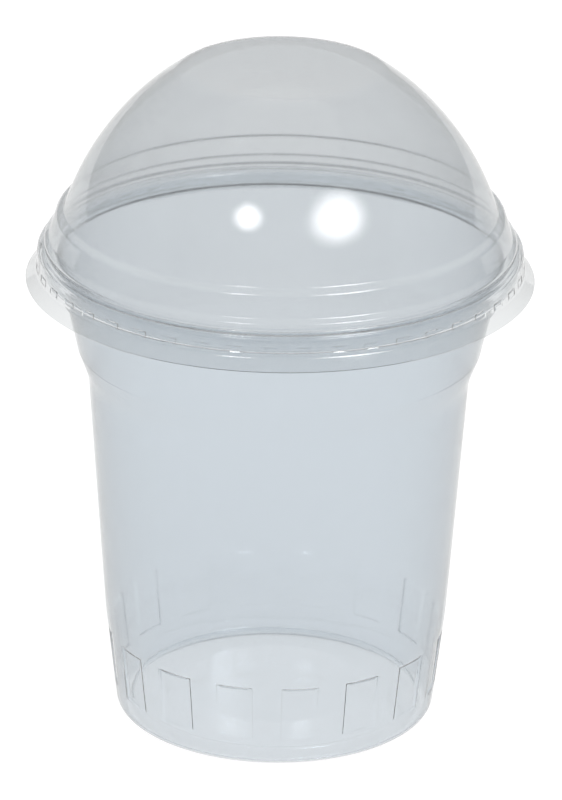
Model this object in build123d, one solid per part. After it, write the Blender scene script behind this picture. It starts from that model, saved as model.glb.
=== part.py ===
from build123d import *
from math import atan2, cos, degrees, radians, remainder, sin, sqrt, tan, tau
import os

# A clear drinks cup and its dome lid, each formed from one plastic sheet of even thickness.
# Millimetres, +Z up, origin at the centre of the plane that the cup stands on.

# Sheet
cup_sheet = 0.35
lid_sheet = 0.3

# Cup: overall sizes
cup_height = 97.5
foot_r = 31.8            # the heel's outside, carried down to the standing plane
heel_height = 21.0
heel_draft = 6.6         # degrees from the axis
heel_bend = 60.0
wall_draft = 4.0         # degrees from the axis

# Cup: base pushed up inside the foot ring
ring_width = 2.8         # foot ring, from its inner edge to foot_r
kick_height = 2.1
kick_lean = 0.6          # kick wall's lean towards the axis
base_rise = 0.8          # base panel's further rise to its flat middle
base_flat_r = 18.0
base_bend = 20.0
foot_bend = 1.8
ring_bend = 0.6

# Cup: stacking lugs pressed into the heel
lug_count = 16
lug_low = 5.6
lug_high = 17.4
lug_degrees = 12.3
lug_depth = 0.45
lug_turn = 8.8           # degrees from the X axis to the first lug

# Cup: the wall flares to a step, then runs up to the mouth
flare_drop = 26.0        # below the rim's top
step_drop = 20.0
step_out = 1.8           # step's outside beyond the wall's line
flare_bend = 14.0
step_bend = 1.0
neck_bend = 1.0          # where the last taper meets the rim

# Cup: rim rolled outwards and down
rim_r = 46.9
rim_width = 3.4          # from the wall's outside to the roll's outside
rim_height = 3.2
rim_tuck = 1.3           # how far the roll's lower edge turns back in
rim_bend = 1.0
rim_tuck_bend = 0.6

# Lid: seat over the rim and the skirt round it
seat_gap = 0.15
snap_gap = 0.15          # between the snap beads and the rim
skirt_depth = 6.0        # below the rim's top
skirt_lean = 0.35
skirt_top_bend = 0.7
skirt_flare_bend = 1.0
flare_width = 2.0
flare_height = 2.2

# Lid: snap beads pressed into the skirt
bead_count = 45
bead_depth = 0.35
bead_height = 1.7
bead_degrees = 4.0
bead_drop = 2.6          # below the rim's top
bead_turn = 3.8          # degrees from the X axis to the first bead

# Lid: shoulder band, heights above the seat's top
valley_in = 1.55         # valley inside the skirt's top corner
valley_bend = 0.45
bulge_height = 1.6
bulge_out = 0.45
bulge_bend = 0.8
band_foot_height = 2.5
band_foot_in = 0.7
band_foot_bend = 0.7
band_height = 7.0
band_in = 2.15
band_bend = 1.3
crease_rise = 0.6
crease_in = 1.4
crease_bend = 0.6

# Lid: dome and crown, heights above the seat's top
crown_r = 19.5
crown_height = 36.95
crown_bend = 6.0
dome_corner_r = 35.3
dome_corner_height = 25.65
dome_bend = 55.0

# How far the tools that press lugs and beads stand out of the sheet
tool_reach = 3.0


def parallel(corners, distance):
    """The same line moved to the right of its run, with its bends kept parallel."""
    headings = [atan2(z1 - z0, r1 - r0) for (r0, z0, _), (r1, z1, _) in zip(corners, corners[1:])]
    moved = []
    for (r, z, bend), before, after in zip(corners, headings[:1] + headings, headings + headings[-1:]):
        half_turn = remainder(after - before, tau) / 2
        reach = distance / cos(half_turn)
        middle = before + half_turn
        change = distance if half_turn > 0 else -distance
        moved.append((r + reach * sin(middle), z - reach * cos(middle), bend + change))
    return moved


def skin(corners):
    """A line through (radius, height, bend radius) corners; its two ends have no bend."""
    points = [(r, z) for r, z, _ in corners]
    bends = [bend for _, _, bend in corners[1:-1]]
    return FilletPolyline(*points, radius=bends)


def turned(edges, sweep=360.0):
    """The closed outline in the (radius, height) plane, turned about the Z axis."""
    return revolve(Plane.XZ * make_face(edges), Axis.Z, revolution_arc=sweep)


def formed_sheet(corners, thickness):
    """A sheet of even thickness to the right of the line, turned about the axis."""
    near = skin(corners)
    far = skin(parallel(corners, thickness))
    ends = [Line(near @ 0, far @ 0), Line(near @ 1, far @ 1)]
    return turned(near.edges() + far.edges() + ends)


def filled(corners):
    """The solid between the line and the axis."""
    line = skin(corners)
    top = (0, (line @ 1).Y)
    return turned(line.edges() + [Line(line @ 1, top), Line(top, line @ 0)])


def sector(outline, sweep):
    """A closed outline turned through a small angle, centred on the X axis."""
    points = Polyline(*outline, close=True)
    return Rot(0, 0, -sweep / 2) * turned(points.edges(), sweep)


def around(shape, count, first):
    """Even copies about the Z axis, the first one turned by first degrees."""
    return [Rot(0, 0, first + 360 / count * index) * shape for index in range(count)]


def degrees_of(length, radius):
    """The angle that a length takes up at a radius."""
    return degrees(length / radius)


def heel_r(height):
    """The outside of the cup's heel, which leans more than the wall above it."""
    return foot_r + height * tan(radians(heel_draft))


def wall_r(height):
    """The outside of the cup's tapered wall, above the heel."""
    return heel_r(heel_height) + (height - heel_height) * tan(radians(wall_draft))


# The cup's line: its outside skin, from the base's middle out and up to the rolled rim.
# On the roll this skin is the underside, so the rim's sizes are taken one sheet further in.
rim_top = cup_height - cup_sheet
rim_low = rim_top - rim_height
mouth_r = rim_r - rim_width
rim_line_r = rim_r - cup_sheet
ring_r = foot_r - ring_width
flare_z = cup_height - flare_drop
step_z = cup_height - step_drop

cup_base_line = [
    (0, kick_height + base_rise, 0),
    (base_flat_r, kick_height + base_rise, base_bend),
    (ring_r - kick_lean, kick_height, ring_bend),
    (ring_r, 0, ring_bend),
    (foot_r, 0, foot_bend),
]
cup_wall_line = [
    (heel_r(heel_height), heel_height, heel_bend),
    (wall_r(flare_z), flare_z, flare_bend),
    (wall_r(step_z) + step_out, step_z, step_bend),
    (mouth_r, rim_low, neck_bend),
]
cup_rim_line = [
    (mouth_r + rim_height * tan(radians(wall_draft)), rim_top, rim_bend),
    (rim_line_r, rim_top, rim_bend),
    (rim_line_r, rim_low, rim_tuck_bend),
    (rim_line_r - rim_tuck, rim_low, 0),
]


def lug_outline(depth, growth):
    """The lug tool's outline: its face follows the heel, depth inside the outside skin."""
    low = lug_low - growth
    high = lug_high + growth
    return [
        (heel_r(low) - depth, low),
        (heel_r(low) + tool_reach, low),
        (heel_r(high) + tool_reach, high),
        (heel_r(high) - depth, high),
    ]


def pressed(sheet, body, backing, press, count, first):
    """Dents pressed into a sheet all round: the sheet behind each is added, then the dent cut."""
    return sheet + around(backing & body, count, first) - around(press, count, first)


def make_cup():
    sheet = formed_sheet(cup_base_line + cup_wall_line + cup_rim_line, -cup_sheet)
    body = filled(cup_base_line + [(heel_r(heel_height), heel_height, 0)])
    backing_degrees = lug_degrees + 2 * degrees_of(cup_sheet, heel_r(lug_low))
    backing = sector(lug_outline(lug_depth + cup_sheet, cup_sheet), backing_degrees)
    press = sector(lug_outline(lug_depth, 0), lug_degrees)
    return pressed(sheet, body, backing, press, lug_count, lug_turn)


# The lid's line: its outside skin, from the crown's middle out and down to the skirt's edge.
seat_top = cup_height + seat_gap + lid_sheet
skirt_low = cup_height - skirt_depth
skirt_flare_z = skirt_low + flare_height
skirt_r = rim_r + snap_gap + bead_depth + lid_sheet
valley_r = skirt_r - valley_in
band_foot_r = valley_r - band_foot_in
band_r = valley_r - band_in
crease_r = band_r - crease_in

lid_line = [
    (0, seat_top + crown_height, 0),
    (crown_r, seat_top + crown_height, crown_bend),
    (dome_corner_r, seat_top + dome_corner_height, dome_bend),
    (crease_r, seat_top + band_height + crease_rise, crease_bend),
    (band_r, seat_top + band_height, band_bend),
    (band_foot_r, seat_top + band_foot_height, band_foot_bend),
    (valley_r + bulge_out, seat_top + bulge_height, bulge_bend),
    (valley_r, seat_top, valley_bend),
    (skirt_r, seat_top, skirt_top_bend),
    (skirt_r + skirt_lean, skirt_flare_z, skirt_flare_bend),
    (skirt_r + skirt_lean + flare_width, skirt_low, 0),
]


def bead_outline(depth, growth):
    """The bead tool's outline: a flat face with slopes of 45 degrees above and below it."""
    middle = cup_height - bead_drop
    half = bead_height / 2 + growth
    return [
        (skirt_r - depth, middle - half + depth),
        (skirt_r + tool_reach, middle - half - tool_reach),
        (skirt_r + tool_reach, middle + half + tool_reach),
        (skirt_r - depth, middle + half - depth),
    ]


def make_lid():
    sheet = formed_sheet(lid_line, lid_sheet)
    backing_degrees = bead_degrees + 2 * degrees_of(lid_sheet, skirt_r)
    backing = sector(bead_outline(bead_depth + lid_sheet, lid_sheet * sqrt(2)), backing_degrees)
    press = sector(bead_outline(bead_depth, 0), bead_degrees)
    return pressed(sheet, filled(lid_line), backing, press, bead_count, bead_turn)


cup = make_cup()
dome_lid = make_lid()

os.makedirs("parts", exist_ok=True)
export_step(cup, "parts/cup.step")
export_step(dome_lid, "parts/dome_lid.step")
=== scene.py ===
from math import acos, atan2, cos, degrees, pi, radians, tan

import bpy
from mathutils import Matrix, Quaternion, Vector


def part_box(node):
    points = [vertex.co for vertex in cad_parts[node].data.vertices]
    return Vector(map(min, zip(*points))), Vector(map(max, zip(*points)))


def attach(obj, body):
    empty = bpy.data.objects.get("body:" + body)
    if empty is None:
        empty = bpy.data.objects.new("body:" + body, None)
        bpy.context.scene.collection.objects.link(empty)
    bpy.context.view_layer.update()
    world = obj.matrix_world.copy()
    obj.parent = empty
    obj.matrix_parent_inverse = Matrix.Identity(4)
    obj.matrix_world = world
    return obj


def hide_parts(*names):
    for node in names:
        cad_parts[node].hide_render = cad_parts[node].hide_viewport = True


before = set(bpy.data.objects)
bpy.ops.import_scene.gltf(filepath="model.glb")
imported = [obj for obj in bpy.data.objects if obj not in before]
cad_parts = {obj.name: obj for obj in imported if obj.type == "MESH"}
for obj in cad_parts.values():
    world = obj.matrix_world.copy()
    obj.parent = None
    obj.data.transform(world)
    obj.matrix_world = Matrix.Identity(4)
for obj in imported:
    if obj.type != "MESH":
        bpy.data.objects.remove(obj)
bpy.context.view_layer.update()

# ---------------------------------------------------------------------------------------------
# The cup. One sheet of clear polyester, warmed, drawn down into a cold mould and trimmed. Its
# base is pushed up inside a foot ring, stacking lugs are pressed into the heel, and its mouth is
# rolled outwards into a rim for the lid to press over.
# ---------------------------------------------------------------------------------------------
mm = 0.001
cup_sheet = 0.35 * mm
_, cup_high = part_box("cup")
cup_height = cup_high.z
rim_r = cup_high.x

# Foot ring and the base inside it
foot_r = 31.8 * mm
foot_bend = 1.8 * mm
ring_r = foot_r - 2.8 * mm
ring_bend = 0.6 * mm
kick_height = 2.1 * mm
kick_lean = 0.6 * mm
base_flat_r = 18 * mm
base_bend = 20 * mm
base_height = kick_height + 0.8 * mm

# Heel, wall, and the flare up to the mouth
heel_height = 21 * mm
heel_draft = radians(6.6)
heel_bend = 60 * mm
wall_draft = radians(4)
flare_z = cup_height - 26 * mm
flare_bend = 14 * mm
step_z = cup_height - 20 * mm
step_out = 1.8 * mm
step_bend = 1 * mm

# Rolled rim: the sheet lies outside and above this line
rim_height = 3.2 * mm
rim_top = cup_height - cup_sheet
rim_low = rim_top - rim_height
rim_line_r = rim_r - cup_sheet
mouth_r = rim_r - 3.4 * mm
neck_bend = 1 * mm
rim_bend = 1 * mm
rim_tuck = 1.3 * mm
rim_tuck_bend = 0.6 * mm

# Stacking lugs, each a few columns of faces wide
lug_count = 16
lug_low = 5.6 * mm
lug_high = 17.4 * mm
lug_depth = 0.4 * mm
lug_slope = 0.6 * mm
lug_soft = 0.25 * mm
lug_turn = 8.8
lug_columns = 7
cup_columns = 192
lug_half = lug_columns / 2 * 360 / cup_columns

# The most that a flat on a rounded bend may stand off the true curve
flat_depth = 0.005 * mm


def heel_r(height):
    """The heel's outside at a height."""
    return foot_r + height * tan(heel_draft)


def wall_r(height):
    """The wall's outside at a height above the heel."""
    return heel_r(heel_height) + (height - heel_height) * tan(wall_draft)


def pick_edges(test):
    """Selects just the edges whose two ends pass the test."""
    bpy.ops.mesh.select_mode(type="EDGE")
    bpy.ops.mesh.select_all(action="DESELECT")
    bpy.ops.object.mode_set(mode="OBJECT")
    mesh = bpy.context.object.data
    good = [test(corner.co) for corner in mesh.vertices]
    for edge in mesh.edges:
        edge.select = good[edge.vertices[0]] and good[edge.vertices[1]]
    bpy.ops.object.mode_set(mode="EDIT")


def pick_faces(test):
    """Selects just the faces whose middles pass the test."""
    bpy.ops.mesh.select_mode(type="FACE")
    bpy.ops.mesh.select_all(action="DESELECT")
    bpy.ops.object.mode_set(mode="OBJECT")
    for face in bpy.context.object.data.polygons:
        face.select = test(face.center)
    bpy.ops.object.mode_set(mode="EDIT")


def draw_shell(name, line, columns, first):
    """Draws a shell out from a disc, ring by ring through (radius, height, bend) corners."""
    radius, height, _ = line[0]
    bpy.ops.object.select_all(action="DESELECT")
    bpy.ops.mesh.primitive_circle_add(
        vertices=columns, radius=radius, fill_type="TRIFAN", location=(0, 0, height),
        rotation=(0, 0, radians(first)),
    )
    shell = bpy.context.object
    shell.name = shell.data.name = name
    bpy.ops.object.transform_apply(location=True, rotation=True, scale=True)
    bpy.ops.object.mode_set(mode="EDIT")
    bpy.ops.mesh.select_mode(type="EDGE")
    bpy.ops.mesh.select_all(action="DESELECT")
    bpy.ops.mesh.select_non_manifold()
    for (r0, z0, _), (r1, z1, _) in zip(line, line[1:]):
        bpy.ops.mesh.extrude_edges_move(TRANSFORM_OT_translate={"value": (0, 0, z1 - z0)})
        bpy.ops.transform.resize(value=(r1 / r0, r1 / r0, 1), center_override=(0, 0, z1))
    return shell


def round_rings(line):
    """Rounds each ring of a drawn shell to its bend radius, in flats too fine to see."""
    starts = [(0, line[0][1], 0)] + line
    for (ra, za, _), (r, z, bend), (rb, zb, _) in zip(starts, line, line[1:]):
        turn = abs(atan2(zb - z, rb - r) - atan2(z - za, r - ra))
        turn = min(turn, 2 * pi - turn)
        if not bend or turn < radians(0.2):
            continue
        pick_edges(lambda co: abs(co.z - z) < 1e-6 and abs(co.xy.length - r) < 1e-6)
        step = 2 * acos(1 - flat_depth / bend)
        bpy.ops.mesh.bevel(
            offset=bend * tan(turn / 2), segments=max(3, round(turn / step)),
            profile=(1 - 0.5 / (1 + cos(turn / 2))) ** 2,
        )


def beside(co, count, first):
    """How many degrees a place is from the middle of the nearest of count even marks."""
    pitch = 360 / count
    return abs((degrees(atan2(co.y, co.x)) - first + pitch / 2) % pitch - pitch / 2)


def soften_border(soft):
    """Rounds the border of the faces that are selected."""
    bpy.ops.mesh.region_to_loop()
    bpy.ops.mesh.bevel(offset=soft, segments=3, profile=0.5)


def press_in(test, slope, depth, soft):
    """Moves the picked faces to the side that they face, and softens both edges of the slope."""
    pick_faces(test)
    bpy.ops.mesh.inset(thickness=slope, depth=depth, use_even_offset=True)
    soften_border(soft)
    pick_faces(test)
    soften_border(soft)


def form_sheet(shell, thickness, side):
    """Gives the drawn shell its thickness, in front of its faces, or behind them with side -1."""
    bpy.ops.mesh.select_all(action="SELECT")
    bpy.ops.mesh.remove_doubles(threshold=1e-6)
    bpy.ops.mesh.normals_make_consistent(inside=False)
    bpy.ops.object.mode_set(mode="OBJECT")
    sheet = shell.modifiers.new("sheet", "SOLIDIFY")
    sheet.thickness = thickness
    sheet.offset = side
    sheet.use_even_offset = True
    bpy.ops.object.modifier_apply(modifier="sheet")
    bpy.ops.object.shade_smooth_by_angle(angle=radians(40))


# The cup's outside skin, from the base's flat middle out and up to the tuck under the rim
cup_line = [
    (base_flat_r, base_height, base_bend),
    (ring_r - kick_lean, kick_height, ring_bend),
    (ring_r, 0, ring_bend),
    (foot_r, 0, foot_bend),
    (heel_r(lug_low), lug_low, 0),
    (heel_r(lug_high), lug_high, 0),
    (heel_r(heel_height), heel_height, heel_bend),
    (wall_r(flare_z), flare_z, flare_bend),
    (wall_r(step_z) + step_out, step_z, step_bend),
    (mouth_r, rim_low, neck_bend),
    (mouth_r + rim_height * tan(wall_draft), rim_top, rim_bend),
    (rim_line_r, rim_top, rim_bend),
    (rim_line_r, rim_low, rim_tuck_bend),
    (rim_line_r - rim_tuck, rim_low, 0),
]
cup = draw_shell("clear_cup", cup_line, cup_columns, lug_turn - lug_half)
round_rings(cup_line)
press_in(
    lambda co: lug_low < co.z < lug_high and beside(co, lug_count, lug_turn) < lug_half,
    lug_slope, lug_depth, lug_soft,
)
form_sheet(cup, cup_sheet, side=1)


class Shade:
    """A value that changes over a surface, so that sums of them are written plainly."""

    def __init__(self, finish, socket):
        self.finish, self.socket = finish, socket

    def other(self, name):
        """Another output of the node that this value comes from."""
        return Shade(self.finish, self.socket.node.outputs[name])

    def __add__(self, value):
        return self.finish.maths("ADD", self, value)

    def __sub__(self, value):
        return self.finish.maths("SUBTRACT", self, value)

    def __rsub__(self, value):
        return self.finish.maths("SUBTRACT", value, self)

    def __mul__(self, value):
        return self.finish.maths("MULTIPLY", self, value)

    def __pow__(self, value):
        return self.finish.maths("POWER", self, value)

    __radd__ = __add__
    __rmul__ = __mul__


class Finish:
    """A material, a light or the room's light, and the nodes that it is made of."""

    def __init__(self, owner):
        self.owner = owner
        owner.use_nodes = True
        self.tree = owner.node_tree
        self.tree.nodes.clear()

    def node(self, kind, settings=None, values=None, out=0):
        """Adds a node: its settings first, then numbers or links for its sockets."""
        made = self.tree.nodes.new(kind)
        for name, value in (settings or {}).items():
            setattr(made, name, value)
        for name, value in (values or {}).items():
            if isinstance(value, Shade):
                self.tree.links.new(value.socket, made.inputs[name])
            else:
                made.inputs[name].default_value = value
        return Shade(self, made.outputs[out]) if made.outputs else made

    def maths(self, operation, first, second):
        return self.node("ShaderNodeMath", {"operation": operation}, {0: first, 1: second})

    def vector_maths(self, operation, *vectors, out=0):
        return self.node(
            "ShaderNodeVectorMath", {"operation": operation}, dict(enumerate(vectors)), out=out
        )

    def blend(self, share, first, second):
        """A colour between two, by share."""
        return self.node(
            "ShaderNodeMix", {"data_type": "RGBA"}, {0: share, 6: first, 7: second}, out=2
        )

    def rise(self, value, start, end):
        """A share that rises smoothly from 0 to 1 as the value goes from start to end."""
        return self.node(
            "ShaderNodeMapRange", {"interpolation_type": "SMOOTHSTEP"},
            {"Value": value, "From Min": start, "From Max": end},
        )

    def noise(self, place, scale, detail):
        return self.node(
            "ShaderNodeTexNoise", values={"Vector": place, "Scale": scale, "Detail": detail}
        )


def clear_plastic(name, tint, edge_tint, painted_light_tint, painted_light_edge_tint, full_at):
    """Clear formed sheet: draw marks up and down it, a faint haze, and deeper colour edge-on.

    It has its full tint where full_at, of the height and the distance off the axis, is 1, and
    the other one where that is 0: painted light that lifts or deepens the shade seen there.
    """
    finish = Finish(bpy.data.materials.new(name))
    place = finish.node("ShaderNodeTexCoord", out="Object")
    height = finish.node("ShaderNodeSeparateXYZ", values={"Vector": place}, out="Z")
    outwards = finish.vector_maths("MULTIPLY", place, (1, 1, 0))
    off_axis = finish.vector_maths("LENGTH", outwards, out="Value")

    # Streaks that run with the draw, faded out where they would all meet at the axis
    around = finish.vector_maths("MULTIPLY", finish.vector_maths("NORMALIZE", outwards), (6, 6, 0))
    along = finish.vector_maths("MULTIPLY", place, (0, 0, 14))
    streaks = finish.noise(finish.vector_maths("ADD", around, along), scale=1, detail=2)
    streaks_kept = finish.rise(off_axis, 3 * mm, 22 * mm)
    waves = finish.noise(place, scale=55, detail=1)
    marks = (streaks - 0.5) * streaks_kept * 0.6 + waves * 0.4
    mark_depth = 0.04 * mm
    bump = finish.node(
        "ShaderNodeBump", values={"Height": marks, "Strength": 1.0, "Distance": mark_depth}
    )

    haze = finish.noise(place, scale=210, detail=4)
    full = full_at(finish, height, off_axis)
    edge_on = finish.node("ShaderNodeLayerWeight", values={"Blend": 0.5}, out="Facing")
    # Painted light: where full_at is 0 the zone tints stand in for shade lifted or deepened there
    colour = finish.blend(
        edge_on ** 3,
        finish.blend(full, painted_light_tint, tint), finish.blend(full, painted_light_edge_tint, edge_tint),
    )
    surface = finish.node(
        "ShaderNodeBsdfPrincipled",
        values={
            "Base Color": colour, "Roughness": 0.03 + haze * 0.03, "IOR": 1.5,
            "Transmission Weight": 1.0, "Normal": bump,
        },
    )
    finish.node("ShaderNodeOutputMaterial", values={"Surface": surface})
    return finish.owner


# The tint is painted lighter in the base panel and in the rim's roll. This is painted light that
# lifts the shade of the extra sheet always seen behind them and, under the base, of the cup's own
# shadow. It is full in the wall between
base_edge = (29.5 * mm, 31.5 * mm)
roll_edge = (43.4 * mm, 43.9 * mm)
cup.data.materials.append(clear_plastic(
    "cup_plastic",
    tint=(0.725, 0.76, 0.79, 1), edge_tint=(0.13, 0.15, 0.16, 1),
    painted_light_tint=(0.93, 0.945, 0.955, 1), painted_light_edge_tint=(0.85, 0.87, 0.88, 1),
    full_at=lambda finish, height, off_axis: (
        finish.rise(off_axis, *base_edge) - finish.rise(off_axis, *roll_edge)
    ),
))
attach(cup, "cup")
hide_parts("cup")

# ---------------------------------------------------------------------------------------------
# The dome lid. The same clear sheet, drawn up into a dome over a shoulder band. Its skirt stands
# round the cup's rim, with small beads pressed in to click under the roll, and its edge flares
# out to be gripped.
# ---------------------------------------------------------------------------------------------
lid_sheet = 0.3 * mm
_, lid_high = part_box("dome_lid")
seat_gap = 0.15 * mm
seat_top = cup_height + seat_gap + lid_sheet

# Skirt
skirt_r = rim_r + 0.8 * mm
skirt_lean = 0.35 * mm
skirt_top_bend = 0.7 * mm
skirt_low = cup_height - 6 * mm
flare_width = 2 * mm
flare_height = 2.2 * mm
skirt_flare_z = skirt_low + flare_height
skirt_flare_bend = 1 * mm

# Shoulder band, from the valley inside the skirt's top up to the crease under the dome
valley_r = skirt_r - 1.55 * mm
valley_bend = 0.45 * mm
bulge_r = valley_r + 0.45 * mm
bulge_z = seat_top + 1.6 * mm
bulge_bend = 0.8 * mm
band_foot_r = valley_r - 0.7 * mm
band_foot_z = seat_top + 2.5 * mm
band_foot_bend = 0.7 * mm
band_r = valley_r - 2.15 * mm
band_z = seat_top + 7 * mm
band_bend = 1.3 * mm
crease_r = band_r - 1.4 * mm
crease_z = band_z + 0.6 * mm
crease_bend = 0.6 * mm

# Dome and crown
crown_r = 19.5 * mm
crown_bend = 6 * mm
dome_r = 35.3 * mm
dome_z = seat_top + 25.65 * mm
dome_bend = 55 * mm

# Snap beads
bead_count = 45
bead_turn = 3.8
bead_z = cup_height - 2.6 * mm
bead_half_height = 0.65 * mm
bead_low = bead_z - bead_half_height
bead_high = bead_z + bead_half_height
bead_slope = 0.38 * mm
bead_depth = 0.25 * mm
bead_soft = 0.16 * mm
bead_columns = 4
lid_columns = 360
bead_half = bead_columns / 2 * 360 / lid_columns


def skirt_at(height):
    """The skirt's outside at a height."""
    return skirt_r + skirt_lean * (seat_top - height) / (seat_top - skirt_flare_z)


# The lid's outside skin, from the crown's flat middle out and down to the skirt's edge
lid_line = [
    (crown_r, lid_high.z, crown_bend),
    (dome_r, dome_z, dome_bend),
    (crease_r, crease_z, crease_bend),
    (band_r, band_z, band_bend),
    (band_foot_r, band_foot_z, band_foot_bend),
    (bulge_r, bulge_z, bulge_bend),
    (valley_r, seat_top, valley_bend),
    (skirt_r, seat_top, skirt_top_bend),
    (skirt_at(bead_high), bead_high, 0),
    (skirt_at(bead_low), bead_low, 0),
    (skirt_r + skirt_lean, skirt_flare_z, skirt_flare_bend),
    (skirt_r + skirt_lean + flare_width, skirt_low, 0),
]
lid = draw_shell("clear_dome_lid", lid_line, lid_columns, bead_turn - bead_half)
round_rings(lid_line)
press_in(
    lambda co: bead_low < co.z < bead_high and beside(co, bead_count, bead_turn) < bead_half,
    bead_slope, -bead_depth, bead_soft,
)
form_sheet(lid, lid_sheet, side=-1)

# The tint is painted lighter in the skirt, lifting the shade where it stands in front of the cup,
# and full above it; edge-on, the skirt's colour is near black, a painted shade on its flare
skirt_edge = (92 * mm, 99 * mm)
lid.data.materials.append(clear_plastic(
    "lid_plastic",
    tint=(0.7, 0.717, 0.73, 1), edge_tint=(0.24, 0.26, 0.26, 1),
    painted_light_tint=(0.77, 0.785, 0.79, 1), painted_light_edge_tint=(0.05, 0.055, 0.055, 1),
    full_at=lambda finish, height, off_axis: finish.rise(height, *skirt_edge),
))
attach(lid, "lid")
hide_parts("dome_lid")

# ---------------------------------------------------------------------------------------------
# The table that the cup stands on. A wide, plain, white sheet lit from below, so that next to
# no shadow falls on it.
# ---------------------------------------------------------------------------------------------
table_r = 30
bpy.ops.object.select_all(action="DESELECT")
bpy.ops.mesh.primitive_circle_add(vertices=64, radius=table_r, fill_type="NGON")
floor = bpy.context.object
floor.name = "floor"
table = Finish(bpy.data.materials.new("white_table"))
mottle = table.noise(table.node("ShaderNodeTexCoord", out="Object"), scale=3, detail=2)
table_surface = table.node(
    "ShaderNodeBsdfPrincipled",
    values={
        "Base Color": table.blend(mottle, (0.12, 0.12, 0.12, 1), (0.15, 0.15, 0.15, 1)),
        "Roughness": 0.9, "Emission Color": (1, 1, 1, 1), "Emission Strength": 0.92,
    },
)
table.node("ShaderNodeOutputMaterial", values={"Surface": table_surface})
floor.data.materials.append(table.owner)

# ---------------------------------------------------------------------------------------------
# Light. A pale room, brighter overhead and a little darker at the sides, and two soft round
# boxes in front and above that make the two bright spots on the dome.
# ---------------------------------------------------------------------------------------------
scene = bpy.context.scene
horizon_light = 0.85
overhead_gain = 0.45
side_loss = 0.2
room = Finish(bpy.data.worlds.new("pale_room"))
scene.world = room.owner
way = room.node("ShaderNodeTexCoord", out="Generated")
across = room.node("ShaderNodeSeparateXYZ", values={"Vector": way}, out="X")
overhead = room.rise(across.other("Z"), -0.1, 0.8)
room_light = horizon_light + overhead * overhead_gain - across * across * side_loss
backdrop = room.node(
    "ShaderNodeBackground", values={"Color": (1, 1, 1, 1), "Strength": room_light}
)
room.node("ShaderNodeOutputWorld", values={"Surface": backdrop})


def soft_box(name, azimuth, elevation, width, height, power):
    """An oval light that faces the cup and fades to its edge; azimuth is from front to right."""
    middle = Vector((0, 0, 0.07))
    distance = 1.2
    back = Vector((0, -1, 0))
    back.rotate(Quaternion((1, 0, 0), -radians(elevation)))
    back.rotate(Quaternion((0, 0, 1), radians(azimuth)))
    bpy.ops.object.light_add(type="AREA", location=middle + back * distance)
    box = bpy.context.object
    box.name = name
    box.rotation_mode = "QUATERNION"
    box.rotation_quaternion = (-back).to_track_quat("-Z", "Y")
    box.data.shape = "ELLIPSE"
    box.data.size, box.data.size_y = width, height
    box.data.energy = power
    cloth = Finish(box.data)
    spot = cloth.node("ShaderNodeNewGeometry", out="Parametric")
    off_middle = cloth.vector_maths("DISTANCE", spot, (0.5, 0.5, 0), out="Value")
    glow = cloth.node("ShaderNodeEmission", values={"Strength": cloth.rise(off_middle, 0.5, 0.0)})
    cloth.node("ShaderNodeOutputLight", values={"Surface": glow})


soft_box("left_box", azimuth=-22.5, elevation=43.5, width=0.4, height=0.3, power=4.5)
soft_box("right_box", azimuth=38, elevation=41, width=0.82, height=0.56, power=15)

# ---------------------------------------------------------------------------------------------
# Camera. From the front and a little above, far off with a long lens, and very slightly turned.
# Light may pass through many skins of clear sheet before it is given up.
# ---------------------------------------------------------------------------------------------
camera_aside = 0.5 * mm
camera_place = Vector((camera_aside, -1.1, 0.524))
camera_aim = Vector((camera_aside, 0, 0.065))
camera_roll = Quaternion((0, 0, 1), radians(0.8))
bpy.ops.object.camera_add(location=camera_place)
camera = bpy.context.object
camera.rotation_mode = "QUATERNION"
camera.rotation_quaternion = (camera_aim - camera_place).to_track_quat("-Z", "Y") @ camera_roll
camera.data.lens = 270.3
camera.data.sensor_width = 36
camera.data.dof.use_dof = False
scene.camera = camera

scene.view_settings.view_transform = "Standard"
scene.cycles.max_bounces = 32
scene.cycles.transmission_bounces = 32
scene.cycles.transparent_max_bounces = 16
